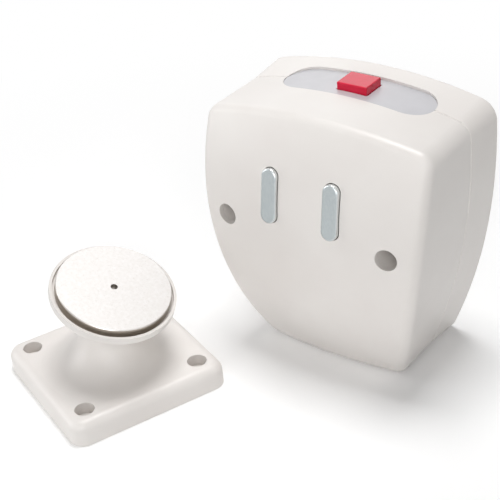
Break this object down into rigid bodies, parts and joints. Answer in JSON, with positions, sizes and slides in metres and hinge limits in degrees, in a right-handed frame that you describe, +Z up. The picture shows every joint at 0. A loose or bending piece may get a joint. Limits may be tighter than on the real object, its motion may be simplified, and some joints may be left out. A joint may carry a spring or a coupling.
{
  "type": "electromagnetic door holder",
  "caption": "Shield-shaped wall magnet with steel pole bars, a red release button and screw wells, with its swivel keeper disc on a square screw-on base.",
  "frame": {"origin": "midway between the two wall screw holes, on the flat back of the wall magnet", "axes": "+X to the right, +Y back into the wall, +Z up; the keeper stands in front to the left on the same bench"},
  "size_m": [0.1981, 0.1688, 0.1403],
  "materials": {
    "moulded_white": "satin gloss moulded ABS",
    "label_grey": "satin grey printed polycarbonate, left bare",
    "button_red": "moulded red ABS",
    "zinc_poles": "bright zinc plate",
    "plated_disc": "satin nickel plate, finely lapped",
    "mild_steel": "plain machined steel",
    "screw_steel": "zinc plated",
    "copper_wire": "enamelled copper wire",
    "bobbin_nylon": "natural nylon",
    "board_green": "solder mask over glass laminate",
    "black_parts": "black moulding",
    "white_acetal": "natural acetal",
    "lamp_red": "diffused red lens",
    "sensor_can": "drawn can",
    "cell_jacket": "plain shrink jacket",
    "contact_brass": "plated spring strip"
  },
  "bodies": {
    "fixed": {"front_cover": "moulded_white", "back_box": "moulded_white", "keeper_base": "moulded_white", "label_plate": "label_grey", "pole_left": "zinc_poles", "pole_right": "zinc_poles", "magnet_yoke": "mild_steel", "case_screws": "screw_steel", "board_screws": "screw_steel", "core_bolts": "screw_steel", "yoke_screws": "screw_steel", "plug_screws": "screw_steel", "winding_left": "copper_wire", "winding_right": "copper_wire", "bobbin_left": "bobbin_nylon", "bobbin_right": "bobbin_nylon", "control_board": "board_green", "push_switch": "black_parts", "driver_chip": "black_parts", "cell_tray": "black_parts", "socket_plug": "white_acetal", "status_lamp": "lamp_red", "microphone": "sensor_can", "cell_left": "cell_jacket", "cell_middle": "cell_jacket", "cell_right": "cell_jacket", "cell_contacts": "contact_brass"},
    "button": {"release_button": "button_red", "switch_plunger": "white_acetal"},
    "liner": {"ball_liner": "white_acetal"},
    "plate": {"ball_stud": "mild_steel", "keeper_cup": "moulded_white", "armature_disc": "plated_disc", "stud_screw": "screw_steel"}
  },
  "joints": [
    {"name": "button_press", "type": "slide", "parent": "fixed", "child": "button", "axis": [0, 0, -1], "range_m": [0, 0.0015], "stiffness_N_per_m": 800, "springref_m": -0.001},
    {"name": "swivel_nod", "type": "hinge", "parent": "fixed", "child": "liner", "pos_m": [-0.0852, -0.1175, -0.0465], "axis": [0, 1, 0], "range_deg": [-42, 2]},
    {"name": "swivel_sway", "type": "hinge", "parent": "liner", "child": "plate", "pos_m": [-0.0852, -0.1175, -0.0465], "axis": [0.9397, 0, -0.342], "range_deg": [-12, 12]}
  ]
}
